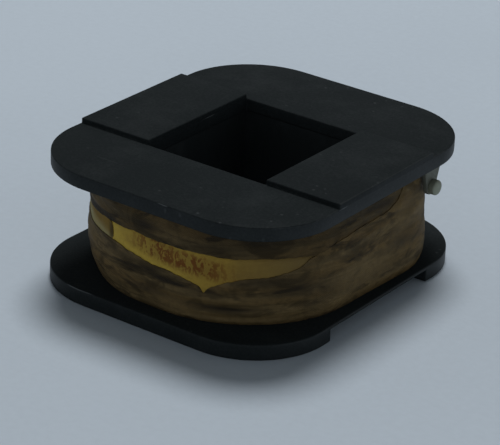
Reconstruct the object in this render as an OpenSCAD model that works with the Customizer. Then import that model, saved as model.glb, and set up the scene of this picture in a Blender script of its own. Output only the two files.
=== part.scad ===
// Ignition coil on a bobbin with a rectangular core window, in millimetres.
// The origin is on the window's axis, in the plane of the underside.
// +Z is up, X runs across the flanges and Y runs along them.

/* [Flanges] */
// Width of both flanges, along X
flange_w = 56; // [46:0.5:72]
// Length of both flanges, along Y
flange_l = 65; // [54:0.5:80]
// Radius of the flanges' corners
flange_r = 15.3; // [11:0.1:18]
// Thickness of the top flange at its two side strips
top_t = 2.6; // [2:0.1:4]
// Height of the raised band across the top flange
band_step = 0.9; // [0.4:0.1:1.5]
// Thickness of the bottom flange
bottom_t = 3; // [2.7:0.1:4.5]
// Depth of the yoke channel under the bottom flange
channel_depth = 2.3; // [1:0.1:2.3]
// How much wider than the window the channel is, on each side
channel_side = 0.5; // [0:0.1:2]

/* [Core window] */
// Width of the window, along X
window_w = 25.4; // [20:0.1:31]
// Length of the window, along Y
window_l = 29; // [23:0.1:35]
// Wall of the tube that lines the window
tube_wall = 1.6; // [1.2:0.1:2.5]
// Radius of the tube's outer corners
tube_r = 2; // [1:0.1:4]
// How deep the tube's ends sit in the flanges
tube_seat = 0.35; // [0.2:0.05:0.5]

/* [Winding] */
// Height of the winding space between the flanges
winding_h = 19; // [15:0.5:26]
// From the wrap to the flanges' edge, along X
wrap_gap_x = 2; // [1.5:0.1:3]
// From the wrap to the flanges' edge, along Y
wrap_gap_y = 2.8; // [1.5:0.1:4]
// Wrap's radius at the corner between +X and -Y
wrap_r_front = 23.5; // [14:0.5:24]
// Wrap's radius at the corner between +X and +Y
wrap_r_right = 19; // [14:0.5:24]
// Wrap's radius at the corner between -X and +Y
wrap_r_back = 21; // [14:0.5:24]
// Wrap's radius at the corner between -X and -Y
wrap_r_left = 23.5; // [14:0.5:24]
// Insulating paper on the tube
core_paper_t = 0.35; // [0.2:0.05:0.5]
// Diameter of the primary wire, with its enamel
primary_wire_d = 0.8; // [0.6:0.05:1]
// Paper between two primary layers
primary_paper_t = 0.25; // [0.15:0.05:0.3]
// Paper between the primary and the secondary
barrier_t = 0.8; // [0.5:0.05:1]
// Paper between two groups of secondary layers
secondary_paper_t = 0.25; // [0.15:0.05:0.3]
// Paper over the whole winding
outer_paper_t = 0.4; // [0.2:0.05:0.5]
// Yellow band that carries the marking
label_t = 0.15; // [0.1:0.05:0.2]
// Washer between the winding and the bottom flange
lower_washer_t = 0.5; // [0.3:0.1:1]
// Washer between the winding and the top flange, slotted for the leads
upper_washer_t = 1.1; // [1:0.05:1.5]

/* [Tape] */
// Thickness of one turn of the varnished tape
tape_t = 0.45; // [0.3:0.05:0.5]
// Height of the upper tape's lower edge above the bottom flange
lap_rise = 8; // [5:0.5:9]
// How far the lower tape laps over the upper one
lap_h = 3; // [2:0.5:4]
// Height of the gap's ends above the bottom flange
gap_rise = 12.3; // [10:0.1:13]
// How far the gap opens above the line through its ends
gap_up = 0.6; // [0.3:0.1:2]
// How far the gap opens below the line through its ends
gap_down = 4.8; // [2:0.1:6]
// Direction that the gap faces, from -Y towards +X
gap_azimuth = 30; // [20:1:35]
// From the wrap's left side, as seen in that direction, to the gap's left end
gap_left_in = 3.5; // [3:0.1:8]
// From the wrap's right side, as seen in that direction, to the gap's right end
gap_right_in = 9.5; // [4:0.1:12]
// Slope of the gap
gap_tilt = -1.4; // [-3:0.1:3]

/* [Terminals] */
// Diameter of a terminal pin's free end
pin_d = 2.8; // [2:0.1:3]
// Diameter of the shank that holds a pin in its post
shank_d = 1.6; // [1.2:0.1:1.8]
// From the top flange's underside down to a pin's axis
pin_drop = 3.8; // [3.2:0.1:5]
// Chamfer on a pin's end
pin_chamfer = 0.2; // [0.1:0.1:0.4]
// Width of a terminal post round its pin
post_w = 3.2; // [3:0.1:4]
// Width of a terminal post where it meets the flange
post_top_w = 5.2; // [4.2:0.1:6]
// Thickness of a terminal post
post_t = 1.1; // [1:0.1:1.4]
// From the wrap to the back of a post
post_gap = 0.2; // [0.1:0.1:0.4]
// From a corner's start to the terminal's axis, along the flange
post_inset = 1; // [0.5:0.1:3]
// Diameter of a lead's wire
wire_d = 0.5; // [0.3:0.05:0.6]
// Outer diameter of the sleeve on a lead
sleeve_d = 1; // [0.8:0.05:1]
// Bare wire between a lead's inner end and its sleeve
bare_l = 0.6; // [0.5:0.1:1.5]
// Length of the solder bead behind a post
solder_l = 0.2; // [0.1:0.05:0.3]
// Diameter of the solder bead
solder_d = 1.6; // [1.2:0.1:2]

/* [Hidden] */
$fn = 96;
cut = 1;
n_primary = 3;
n_secondary = 5;
gap_sides = 12;

// Levels along Z
winding_z0 = bottom_t;
winding_z1 = bottom_t + winding_h;
stack_z0 = winding_z0 + lower_washer_t;
stack_z1 = winding_z1 - upper_washer_t;
strip_z = winding_z1 + top_t;
band_z = strip_z + band_step;
pin_z = winding_z1 - pin_drop;
lead_z = stack_z1 + sleeve_d / 2;
lap_z0 = winding_z0 + lap_rise;
lap_z1 = lap_z0 + lap_h;

// Half sizes and corner radius of the tube and of the finished wrap
tube_x = window_w / 2 + tube_wall;
tube_y = window_l / 2 + tube_wall;
wrap_x = flange_w / 2 - wrap_gap_x;
wrap_y = flange_l / 2 - wrap_gap_y;
corner_limit = min(wrap_x, wrap_y) - cut;
build = wrap_x - tube_x;

// The wrap's corners, anticlockwise from +X and +Y
wrap_corners = [
  min(wrap_r_right, corner_limit),
  min(wrap_r_back, corner_limit),
  min(wrap_r_left, corner_limit),
  min(wrap_r_front, corner_limit)
];
RIGHT = 0;
BACK = 1;
LEFT = 2;

// Depths from the tube, measured along X
barrier_d = core_paper_t + n_primary * primary_wire_d + (n_primary - 1) * primary_paper_t;
secondary_d = barrier_d + barrier_t;
tape_d = build - 2 * tape_t;
label_d = tape_d - label_t;
outer_paper_d = label_d - outer_paper_t;
secondary_t = (outer_paper_d - secondary_d - (n_secondary - 1) * secondary_paper_t) / n_secondary;

function primary_at(i) = core_paper_t + (i - 1) * (primary_wire_d + primary_paper_t);
function secondary_at(i) = secondary_d + (i - 1) * (secondary_t + secondary_paper_t);

// The outline at a depth goes evenly from the tube's to the wrap's
function between(a, b, depth) = a + (b - a) * depth / build;
function half_x(depth) = between(tube_x, wrap_x, depth);
function half_y(depth) = between(tube_y, wrap_y, depth);
function corners(depth) = [for (r = wrap_corners) between(tube_r, r, depth)];

// How far a rounded rectangle reaches outwards, at a distance along its side
function reach(out, along, r, at) = out - r + sqrt(r * r - pow(max(0, at - (along - r)), 2));

// Terminals: where they stand along the side, the edge in front and the wrap behind.
// The wrap falls away along the corner, so the inner side of the post is the one that clears it.
term_y = flange_l / 2 - flange_r - post_inset;
term_x = flange_w / 2 - flange_r - post_inset;
edge_x = reach(flange_w / 2, flange_l / 2, flange_r, term_y);
edge_y = reach(flange_l / 2, flange_w / 2, flange_r, term_x);
breaker_back = reach(wrap_x, wrap_y, wrap_corners[RIGHT], term_y - post_top_w / 2) + post_gap;
ground_back = reach(wrap_x, wrap_y, wrap_corners[BACK], term_y - post_top_w / 2) + post_gap;
tension_back = reach(wrap_y, wrap_x, wrap_corners[BACK], term_x - post_top_w / 2) + post_gap;

// Where each lead rises from its winding: it is tucked back along the winding's straight side
lead_tuck = max(6, term_y - tube_y + 4);
breaker_d = primary_at(n_primary) + primary_wire_d / 2;
ground_d = primary_at(1) + primary_wire_d / 2;
tension_d = secondary_at(n_secondary) + secondary_t / 2;
breaker_in = half_x(breaker_d);
ground_in = half_x(ground_d);
tension_in = reach(half_y(tension_d), half_x(tension_d), corners(tension_d)[BACK], term_x);

// A rectangle with a radius of its own at each corner, anticlockwise from +X and +Y
module rounded_rect(w, l, radii) {
  sides = [[1, 1], [-1, 1], [-1, -1], [1, -1]];
  for (i = [0:3]) {
    r = radii[i];
    side_x = sides[i][0];
    side_y = sides[i][1];
    quarter(side_x, side_y, w / 2 - r, l / 2);
    quarter(side_x, side_y, w / 2, l / 2 - r);
    translate([side_x * (w / 2 - r), side_y * (l / 2 - r)])
      circle(r = r);
  }
}

// A rectangle from the middle out towards one corner
module quarter(side_x, side_y, w, l) {
  translate([side_x < 0 ? -w : 0, side_y < 0 ? -l : 0])
    square([w, l]);
}

module outline(depth) {
  rounded_rect(2 * half_x(depth), 2 * half_y(depth), corners(depth));
}

module slab(depth, z0, z1) {
  translate([0, 0, z0])
    linear_extrude(z1 - z0)
      outline(depth);
}

// A closed band round the tube, from one depth to another
module ring(depth, thickness, z0, z1) {
  difference() {
    slab(depth + thickness, z0, z1);
    slab(depth, z0 - cut, z1 + cut);
  }
}

module plate(z0, z1) {
  translate([0, 0, z0])
    linear_extrude(z1 - z0)
      rounded_rect(flange_w, flange_l, [for (i = [0:3]) flange_r]);
}

module window_cut() {
  translate([-window_w / 2, -window_l / 2, -cut])
    cube([window_w, window_l, band_z + 2 * cut]);
}

module top_flange() {
  color([0.13, 0.14, 0.15])
    difference() {
      plate(winding_z1, band_z);
      for (side = [-1, 1])
        translate([-flange_w / 2 - cut, side > 0 ? window_l / 2 : -window_l / 2 - flange_l, strip_z])
          cube([flange_w + 2 * cut, flange_l, band_step + cut]);
      window_cut();
      slab(0, winding_z1 - cut, winding_z1 + tube_seat);
    }
}

module bottom_flange() {
  channel_l = window_l + 2 * channel_side;
  color([0.13, 0.14, 0.15])
    difference() {
      plate(0, bottom_t);
      translate([-flange_w / 2 - cut, -channel_l / 2, -cut])
        cube([flange_w + 2 * cut, channel_l, channel_depth + cut]);
      window_cut();
      slab(0, bottom_t - tube_seat, bottom_t + cut);
    }
}

module core_tube() {
  color([0.1, 0.11, 0.12])
    difference() {
      slab(0, winding_z0 - tube_seat, winding_z1 + tube_seat);
      window_cut();
    }
}

module core_paper() {
  color([0.72, 0.62, 0.42])
    ring(0, core_paper_t, stack_z0, stack_z1);
}

module primary_layer(i) {
  color([0.72, 0.36, 0.2])
    ring(primary_at(i), primary_wire_d, stack_z0, stack_z1);
}

module primary_paper(i) {
  color([0.74, 0.65, 0.46])
    ring(primary_at(i) + primary_wire_d, primary_paper_t, stack_z0, stack_z1);
}

module barrier_paper() {
  color([0.62, 0.5, 0.3])
    ring(barrier_d, barrier_t, stack_z0, stack_z1);
}

module secondary_winding(i) {
  color([0.6, 0.27, 0.13])
    ring(secondary_at(i), secondary_t, stack_z0, stack_z1);
}

module secondary_paper(i) {
  color([0.74, 0.65, 0.46])
    ring(secondary_at(i) + secondary_t, secondary_paper_t, stack_z0, stack_z1);
}

module outer_paper() {
  color([0.66, 0.52, 0.3])
    ring(outer_paper_d, outer_paper_t, stack_z0, stack_z1);
}

module label_band() {
  color([0.82, 0.68, 0.25])
    ring(label_d, label_t, stack_z0, stack_z1);
}

// A shallow arc over a chord from -half to half: its corner i, and how far it rises there
function chord_x(i, half) = half * (2 * i / gap_sides - 1);
function arc_y(x, half, rise) =
  let (r = (half * half + rise * rise) / (2 * rise))
    sqrt(r * r - x * x) - r + rise;

// A leaf-shaped cutter through the tapes: two arcs in short sides that meet at the gap's ends.
// Its length comes from how wide the wrap is across the direction that the gap faces.
module tape_gap() {
  r = wrap_corners[LEFT];
  across = (wrap_x - r) * cos(gap_azimuth) + (wrap_y - r) * sin(gap_azimuth) + r;
  half = across - (gap_left_in + gap_right_in) / 2;
  rotate(gap_azimuth)
    rotate([90, 0, 0])
      linear_extrude(flange_w + flange_l)
        translate([(gap_left_in - gap_right_in) / 2, winding_z0 + gap_rise])
          rotate(gap_tilt)
            polygon([
              for (i = [0:gap_sides])
                [chord_x(i, half), arc_y(chord_x(i, half), half, gap_up)],
              for (i = [gap_sides - 1:-1:1])
                [chord_x(i, half), -arc_y(chord_x(i, half), half, gap_down)]
            ]);
}

// The lower tape is two turns thick, and its outer turn laps over the upper tape
module lower_tape() {
  color([0.36, 0.26, 0.13])
    difference() {
      slab(build, winding_z0, lap_z1);
      slab(tape_d, winding_z0 - cut, lap_z1 + cut);
      slab(tape_d + tape_t, lap_z0, lap_z1 + cut);
      tape_gap();
    }
}

// The upper tape is two turns thick above the lap, and one turn inside it
module upper_tape() {
  color([0.42, 0.3, 0.15])
    difference() {
      slab(build, lap_z1, winding_z1);
      slab(tape_d, lap_z1 - cut, winding_z1 + cut);
      tape_gap();
      lead_bores();
    }
  color([0.42, 0.3, 0.15])
    difference() {
      slab(tape_d + tape_t, lap_z0, lap_z1);
      slab(tape_d, lap_z0 - cut, lap_z1 + cut);
      tape_gap();
    }
}

module lead_bores() {
  at_breaker() lead_bore(breaker_back);
  at_ground() lead_bore(ground_back);
  at_tension() lead_bore(tension_back);
}

module lower_washer() {
  color([0.45, 0.2, 0.12])
    ring(0, tape_d, winding_z0, stack_z0);
}

module upper_washer() {
  color([0.45, 0.2, 0.12])
    difference() {
      ring(0, tape_d, stack_z1, winding_z1);
      at_breaker() lead_slot(breaker_in, breaker_back, lead_tuck);
      at_ground() lead_slot(ground_in, ground_back, lead_tuck);
      at_tension() lead_slot(tension_in, tension_back, 0);
    }
}

// Each terminal's frame: +X outwards, its own axis at y = 0
module at_breaker() {
  translate([0, term_y, 0])
    children();
}

module at_ground() {
  mirror([1, 0, 0])
    at_breaker()
      children();
}

module at_tension() {
  rotate(90)
    translate([0, term_x, 0])
      children();
}

module rod_x(x0, x1, z, d) {
  translate([x0, 0, z])
    rotate([0, 90, 0])
      cylinder(h = x1 - x0, d = d);
}

module lead_bore(back) {
  rod_x(back / 2, back, lead_z, sleeve_d);
}

// The way that a lead takes: outwards, and along its winding where it is tucked
module lead_way(x0, x1, tuck, d) {
  rod_x(x0, x1, lead_z, d);
  if (tuck > 0) {
    translate([x0, 0, lead_z])
      rotate([90, 0, 0])
        cylinder(h = tuck, d = d);
    translate([x0, 0, lead_z])
      sphere(d = d);
  }
}

module lead_slot(x0, x1, tuck) {
  w = sleeve_d;
  translate([x0 - w / 2, -w / 2, stack_z1 - cut])
    cube([x1 - x0 + w / 2, w, upper_washer_t + 2 * cut]);
  translate([x0 - w / 2, -tuck - w / 2, stack_z1 - cut])
    cube([w, tuck + w / 2, upper_washer_t + 2 * cut]);
}

// The wire rises from its winding, then runs out into the post
module lead(x0, back, tuck) {
  color([0.75, 0.4, 0.22]) {
    lead_way(x0, back + post_t / 2, tuck, wire_d);
    translate([x0, -tuck, stack_z1])
      cylinder(h = sleeve_d / 2, d = wire_d);
    translate([x0, -tuck, lead_z])
      sphere(d = wire_d);
  }
}

module sleeve(x0, back, tuck) {
  x1 = back - solder_l;
  color([0.5, 0.42, 0.2])
    difference() {
      if (tuck > 0)
        lead_way(x0, x1, tuck - bare_l, sleeve_d);
      else
        lead_way(x0 + bare_l, x1, 0, sleeve_d);
      lead_way(x0, back, tuck, wire_d);
    }
}

module solder(back) {
  color([0.78, 0.78, 0.74])
    difference() {
      rod_x(back - solder_l, back, lead_z - (solder_d - sleeve_d) / 2, solder_d);
      rod_x(back - 2 * solder_l, back + cut, lead_z, wire_d);
    }
}

// A tab that narrows from the flange down to a round end about the pin
module post(back) {
  color([0.74, 0.72, 0.64])
    difference() {
      union() {
        rod_x(back, back + post_t, pin_z, post_w);
        translate([back, 0, 0])
          rotate([90, 0, 90])
            linear_extrude(post_t)
              polygon([
                [-post_w / 2, pin_z], [post_w / 2, pin_z],
                [post_top_w / 2, winding_z1], [-post_top_w / 2, winding_z1]
              ]);
      }
      rod_x(back - cut, back + post_t + cut, pin_z, shank_d);
      rod_x(back - cut, back + post_t / 2, lead_z, wire_d);
    }
}

// A turned pin: a thin shank in the post, then the free end with its chamfer
module pin(back, edge) {
  shoulder = back + post_t;
  color([0.84, 0.84, 0.8])
    translate([0, 0, pin_z])
      rotate([0, 90, 0])
        rotate_extrude()
          polygon([
            [0, back], [shank_d / 2, back],
            [shank_d / 2, shoulder], [pin_d / 2, shoulder],
            [pin_d / 2, edge - pin_chamfer], [pin_d / 2 - pin_chamfer, edge], [0, edge]
          ]);
}

top_flange();
bottom_flange();
core_tube();
core_paper();
for (i = [1:n_primary])
  primary_layer(i);
for (i = [1:n_primary - 1])
  primary_paper(i);
barrier_paper();
for (i = [1:n_secondary])
  secondary_winding(i);
for (i = [1:n_secondary - 1])
  secondary_paper(i);
outer_paper();
label_band();
lower_tape();
upper_tape();
lower_washer();
upper_washer();
at_breaker() post(breaker_back);  // breaker_post
at_breaker() pin(breaker_back, edge_x);  // breaker_pin
at_breaker() lead(breaker_in, breaker_back, lead_tuck);  // breaker_lead
at_breaker() sleeve(breaker_in, breaker_back, lead_tuck);  // breaker_sleeve
at_breaker() solder(breaker_back);  // breaker_solder
at_ground() post(ground_back);  // ground_post
at_ground() pin(ground_back, edge_x);  // ground_pin
at_ground() lead(ground_in, ground_back, lead_tuck);  // ground_lead
at_ground() sleeve(ground_in, ground_back, lead_tuck);  // ground_sleeve
at_ground() solder(ground_back);  // ground_solder
at_tension() post(tension_back);  // tension_post
at_tension() pin(tension_back, edge_y);  // tension_pin
at_tension() lead(tension_in, tension_back, 0);  // tension_lead
at_tension() sleeve(tension_in, tension_back, 0);  // tension_sleeve
at_tension() solder(tension_back);  // tension_solder
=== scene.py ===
"""Looks of an ignition coil on its bobbin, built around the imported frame."""
import math

import bmesh
import bpy
from bpy.props import FloatProperty, FloatVectorProperty, PointerProperty
from bpy.types import Operator, Panel, PropertyGroup
from mathutils import Matrix, Vector, noise


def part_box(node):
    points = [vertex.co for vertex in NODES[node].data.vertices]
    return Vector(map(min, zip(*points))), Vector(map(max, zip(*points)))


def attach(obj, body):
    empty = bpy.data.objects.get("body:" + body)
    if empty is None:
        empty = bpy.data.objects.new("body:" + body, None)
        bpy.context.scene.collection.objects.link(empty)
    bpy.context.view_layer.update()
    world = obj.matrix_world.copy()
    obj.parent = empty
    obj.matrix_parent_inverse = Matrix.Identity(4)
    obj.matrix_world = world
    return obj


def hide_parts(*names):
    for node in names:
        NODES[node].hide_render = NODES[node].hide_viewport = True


bl_info = {
    "name": "Ignition coil",
    "version": (1, 0, 0),
    "blender": (4, 5, 0),
    "location": "3D View > Sidebar > Coil",
    "description": "Builds the looks of a bobbin-wound ignition coil around its frame",
    "category": "Object",
}

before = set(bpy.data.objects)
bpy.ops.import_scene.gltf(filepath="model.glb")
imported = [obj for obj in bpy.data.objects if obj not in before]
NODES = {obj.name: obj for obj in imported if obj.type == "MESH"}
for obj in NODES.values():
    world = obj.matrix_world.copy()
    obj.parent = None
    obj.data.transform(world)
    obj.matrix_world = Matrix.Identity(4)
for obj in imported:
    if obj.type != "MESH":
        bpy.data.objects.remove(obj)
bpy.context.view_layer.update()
BODY = "root"
MM = 0.001
SNAP = 0.02 * MM
MERGE = 0.002 * MM

TOP_LOW, TOP_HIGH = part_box("top_flange")
BOTTOM_LOW, BOTTOM_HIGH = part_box("bottom_flange")
WRAP_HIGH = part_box("upper_tape")[1]
WINDING_LOW = BOTTOM_HIGH.z
WINDING_HIGH = TOP_LOW.z


# Settings

def length(name, text, value):
    """A size in metres that a user may change."""
    return FloatProperty(name=name, description=text, default=value, unit="LENGTH", precision=5)


def colour(name, text, value):
    """A linear colour that a user may change."""
    return FloatVectorProperty(name=name, description=text, default=value, subtype="COLOR", min=0, max=1)


class BobbinSettings(PropertyGroup):
    corner_radius: length("Corner radius", "Radius of the flanges' corners", 15.3 * MM)
    window_width: length("Window width", "Width of the core window, along X", 25.4 * MM)
    window_length: length("Window length", "Length of the core window, along Y", 29 * MM)
    band_step: length("Band step", "Height of the raised band on the top flange", 0.9 * MM)
    channel_depth: length("Channel depth", "Depth of the channel under the bottom flange", 2.3 * MM)
    channel_length: length("Channel length", "Size of the channel along Y", 30 * MM)
    edge_round: length("Edge rounding", "Radius on the moulded edges", 0.3 * MM)
    black: colour("Black", "Colour of the moulding", (0.0150, 0.0186, 0.0196))
    # This colour also lightens the rims at the X ends, as painted light.
    dust: colour("Dust", "Colour of dust and worn edges on the moulding", (0.12, 0.13, 0.135))


class TapeSettings(PropertyGroup):
    radius_front: length("Front radius", "Wrap's radius at the corner between +X and -Y", 23.5 * MM)
    radius_right: length("Right radius", "Wrap's radius at the corner between +X and +Y", 19 * MM)
    radius_back: length("Back radius", "Wrap's radius at the corner between -X and +Y", 21 * MM)
    radius_left: length("Left radius", "Wrap's radius at the corner between -X and -Y", 23.5 * MM)
    thickness: length("Thickness", "Thickness of the shell that stands for a turn", 0.12 * MM)
    # This colour is also the painted highlight where the tape stands proud.
    light: colour("Light", "Varnished tape where it is palest", (0.175, 0.122, 0.055))
    brown: colour("Brown", "Varnished tape on the whole", (0.095, 0.067, 0.031))
    amber: colour("Amber", "Thick clear varnish over the tape", (0.155, 0.094, 0.032))
    # This colour is also the painted shade in the folds' creases.
    dark: colour("Dark", "Varnish where it has run together", (0.017, 0.013, 0.009))


class LabelSettings(PropertyGroup):
    yellow: colour("Yellow", "Clean part of the yellow band", (0.56, 0.385, 0.058))
    stained: colour("Stained", "Band where the varnish has soaked in", (0.335, 0.202, 0.036))
    drowned: colour("Drowned", "Band where the varnish has covered it", (0.165, 0.112, 0.040))
    pale: colour("Pale", "Turned end of the band", (0.300, 0.258, 0.118))
    ink: colour("Ink", "Faded ink", (0.17, 0.052, 0.008))


class TerminalSettings(PropertyGroup):
    tin: colour("Tin", "Dull tin on the pins", (0.27, 0.29, 0.225))
    # Darker than the pins' tin: yellowed by varnish, and darkened as painted shade for the posts' shaded
    # sides.
    post: colour("Post", "Tinned posts, yellowed by varnish", (0.145, 0.150, 0.122))


class StageSettings(PropertyGroup):
    floor: colour("Floor", "Pale floor", (0.56, 0.63, 0.70))
    light_size: length("Light size", "Width of the soft ceiling light", 0.52)
    camera_distance: length("Camera distance", "From the camera to where it looks", 0.4538)


SETTINGS = {
    "coil_bobbin": BobbinSettings,
    "coil_tape": TapeSettings,
    "coil_label": LabelSettings,
    "coil_terminals": TerminalSettings,
    "coil_stage": StageSettings,
}


# Shader maths

class Value:
    """A node socket that takes part in plain arithmetic."""

    def __init__(self, tree, socket):
        self.tree = tree
        self.socket = socket

    def math(self, operation, *others):
        node = self.tree.nodes.new("ShaderNodeMath")
        node.operation = operation
        for place, value in zip(node.inputs, (self,) + others):
            feed(self.tree, place, value)
        return Value(self.tree, node.outputs[0])

    def __add__(self, other):
        return self.math("ADD", other)

    def __sub__(self, other):
        return self.math("SUBTRACT", other)

    def __mul__(self, other):
        return self.math("MULTIPLY", other)

    def __rsub__(self, other):
        node = self.tree.nodes.new("ShaderNodeMath")
        node.operation = "SUBTRACT"
        feed(self.tree, node.inputs[0], other)
        feed(self.tree, node.inputs[1], self)
        return Value(self.tree, node.outputs[0])

    __radd__ = __add__
    __rmul__ = __mul__

    def above(self, low, high):
        """Rises smoothly from 0 to 1 as the value goes from low to high."""
        node = self.tree.nodes.new("ShaderNodeMapRange")
        node.interpolation_type = "SMOOTHSTEP"
        for name, value in {"Value": self, "From Min": low, "From Max": high}.items():
            feed(self.tree, node.inputs[name], value)
        return Value(self.tree, node.outputs[0])

    def hump(self, centre, half):
        """1 about the centre, falling smoothly to 0 at a distance of half on each side."""
        return 1 - (self - centre).math("ABSOLUTE").above(half * 0.35, half)

    def wave(self, pitch):
        """A sine, from -1 to 1, that repeats at a pitch."""
        return (self * (2 * math.pi / pitch)).math("SINE")

    def clamped(self):
        return self.math("MAXIMUM", 0).math("MINIMUM", 1)


def feed(tree, place, value):
    """Links a Value to a socket, or writes a plain one on it."""
    if isinstance(value, Value):
        tree.links.new(value.socket, place)
    elif hasattr(value, "__len__") and len(value) == 3 and place.type == "RGBA":
        place.default_value = (*value, 1)
    else:
        place.default_value = value


def scaled(tone, factor):
    return [part * factor for part in tone]


class Finish:
    """A material: one shader, and the nodes that feed it."""

    def __init__(self, name):
        self.material = bpy.data.materials.new(name)
        self.material.use_nodes = True
        self.tree = self.material.node_tree
        self.tree.nodes.clear()
        self.shader = self.tree.nodes.new("ShaderNodeBsdfPrincipled")
        output = self.tree.nodes.new("ShaderNodeOutputMaterial")
        self.tree.links.new(self.shader.outputs[0], output.inputs["Surface"])

    def node(self, kind, settings=None, inputs=None, output=0):
        """Adds any node: its settings first, then the values or links of its sockets."""
        node = self.tree.nodes.new("ShaderNode" + kind)
        for name, value in (settings or {}).items():
            setattr(node, name, value)
        for name, value in (inputs or {}).items():
            feed(self.tree, node.inputs[name], value)
        return Value(self.tree, node.outputs[output])

    def place(self):
        return self.node("TexCoord", output="Object")

    def surface(self):
        """Distance round the wrap and height, in millimetres, from the piece's UV map."""
        return self.node("UVMap", {"uv_map": "around"})

    def stretched(self, vector, scale, shift=(0, 0, 0)):
        return self.node("Mapping", None, {"Vector": vector, "Scale": scale, "Location": shift})

    def axis(self, vector, name):
        return self.node("SeparateXYZ", None, {"Vector": vector}, name)

    def cloud(self, vector, scale, detail, roughness, distortion=0.0):
        return self.node("TexNoise", None, {
            "Vector": vector, "Scale": scale, "Detail": detail,
            "Roughness": roughness, "Distortion": distortion,
        })

    def cells(self, vector, scale):
        return self.node("TexVoronoi", None, {"Vector": vector, "Scale": scale})

    def mark(self, name):
        return self.node("Attribute", {"attribute_name": name}, None, "Fac")

    def blend(self, amount, first, second):
        node = self.tree.nodes.new("ShaderNodeMix")
        node.data_type = "RGBA"
        feed(self.tree, node.inputs[0], amount)
        feed(self.tree, node.inputs[6], first)
        feed(self.tree, node.inputs[7], second)
        return Value(self.tree, node.outputs[2])

    def bump(self, height, depth):
        return self.node("Bump", None, {"Height": height, "Distance": depth})

    def shade(self, **sockets):
        for name, value in sockets.items():
            feed(self.tree, self.shader.inputs[name.replace("_", " ")], value)
        return self.material


# Materials

KRAFT = (0.42, 0.29, 0.14)
FISH_PAPER = (0.19, 0.045, 0.02)
# Millimetres from thread to thread
WARP_PITCH = 0.42
WEFT_PITCH = 0.36
LABEL_PITCH = 0.3


def bobbin_finish(name, settings, rim_low, rim_high, side_painted_light, side_shine):
    """Matt black moulding: pebbled faces, smoother rims between two heights, scratches and dust, and painted
    light that lightens the rims at the X ends towards the dust colour.
    """
    made = Finish(name)
    place = made.place()
    height = made.axis(place, "Z")
    margin = 0.25 * MM
    rim = height.above(rim_low, rim_low + margin) * (1 - height.above(rim_high - margin, rim_high))
    across = made.axis(place, "X").math("ABSOLUTE")
    sides = across.above(22 * MM, 28 * MM)
    # step: a thin line along the top of the rim at the X ends, lightened below as painted light.
    step = height.above(rim_high - margin, rim_high) * across.above(27.7 * MM, 27.9 * MM)
    pebble = made.cloud(place, 2300, 3, 0.6)
    rubbed = made.cloud(place, 95, 4, 0.6)
    patches = made.cloud(place, 38, 3, 0.5)
    specks = made.cells(made.stretched(place, (1, 1, 0.6)), 420)
    scratches = made.cloud(made.stretched(place, (35, 900, 300)), 1, 2, 0.4)
    cross = made.cloud(made.stretched(place, (700, 60, 300), (3, 1, 2)), 1, 2, 0.4)
    dust = (1 - specks.above(0.05, 0.16)) * patches.above(0.48, 0.62) * (0.30 - rim * 0.15)
    film = rubbed.above(0.30, 0.80) * 0.055
    lines = (scratches.above(0.74, 0.80) + cross.above(0.76, 0.82)) * 0.08
    grain = (pebble - 0.5) * 0.20
    knocks = made.cloud(made.stretched(place, (130, 130, 900), (2, 9, 4)), 1, 3, 0.5)
    worn = height.hump(rim_high - 0.14 * MM, 0.11 * MM) * knocks.above(0.60, 0.68) * 0.7
    # Painted light: the rims at the X ends and the thin line along their top are lightened towards the dust
    # colour, by the amount passed in for each flange.
    side = (rim * sides + step) * side_painted_light
    tone = made.blend((dust + film + lines + grain + worn + side).clamped(), settings.black, settings.dust)
    shine = rim * (0.22 + sides * side_shine) + step * 0.2 + rubbed.above(0.45, 0.8) * 0.05
    return made.shade(
        Base_Color=tone,
        Roughness=0.66 + rubbed * 0.16 - rim * 0.22,
        Normal=made.bump(pebble * 0.5 + rubbed * 0.6 - lines * 2, 0.00008),
        Specular_IOR_Level=0.02,
        Coat_Weight=shine.clamped(),
        Coat_Roughness=0.36,
        Coat_IOR=1.45,
    )


def lining_finish(settings):
    """Black moulding inside the core window, with long draw marks and dust."""
    made = Finish("window_lining")
    place = made.place()
    marks = made.cloud(made.stretched(place, (420, 420, 26)), 1, 3, 0.5)
    patches = made.cloud(place, 120, 4, 0.6)
    tone = made.blend(patches.above(0.5, 0.8) * 0.12, settings.black, settings.dust)
    return made.shade(
        Base_Color=tone,
        Roughness=0.5 + marks * 0.25,
        Normal=made.bump(marks + patches * 0.4, 0.0001),
        Specular_IOR_Level=0.12,
    )


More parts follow.
